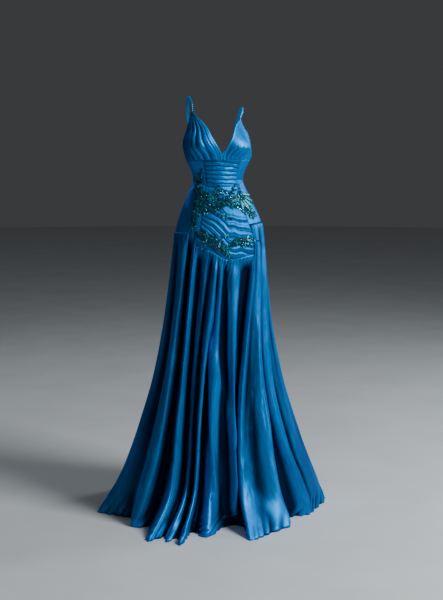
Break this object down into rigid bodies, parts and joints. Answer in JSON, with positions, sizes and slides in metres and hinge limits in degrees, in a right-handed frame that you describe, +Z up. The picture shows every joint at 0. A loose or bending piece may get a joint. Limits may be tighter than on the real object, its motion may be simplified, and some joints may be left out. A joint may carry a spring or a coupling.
{
  "type": "evening gown",
  "caption": "Floor-length satin evening gown with thin straps, V neck, ruched hip yoke, beaded appliques and a full folded skirt, hollow as when worn.",
  "frame": {"origin": "midway between the tops of the two shoulder straps, where the wearer's shoulders hold the gown up", "axes": "+Z up, the front faces -Y, +X towards the wearer's left"},
  "size_m": [0.9286, 0.8814, 1.6193],
  "materials": {
    "satin": "lustrous satin",
    "satin_binding": "lustrous satin, bound edge",
    "beaded_lace": "lace set with beads and sequins",
    "zip_metal": "satin metal"
  },
  "bodies": {
    "gown": {"cup_right": "satin", "cup_left": "satin", "neck_binding_right": "satin_binding", "neck_binding_left": "satin_binding", "strap_right": "satin_binding", "strap_left": "satin_binding", "midriff_front": "satin", "hip_yoke_front": "satin", "side_panel_right": "satin", "side_panel_left": "satin", "back_panel_right": "satin", "back_panel_left": "satin", "skirt_front": "satin", "skirt_side_right": "satin", "skirt_side_left": "satin", "skirt_back_right": "satin", "skirt_back_left": "satin", "applique_upper": "beaded_lace", "applique_side": "beaded_lace", "applique_lower": "beaded_lace", "applique_lower_left": "beaded_lace", "zip_slider": "zip_metal"},
    "pull_tab": {"zip_tab": "zip_metal"}
  },
  "joints": [
    {"name": "pull_tab_hinge", "type": "hinge", "parent": "gown", "child": "pull_tab", "pos_m": [0.01, 0.09062, -0.2351], "axis": [1, 0, 0], "range_deg": [0, 165]}
  ]
}
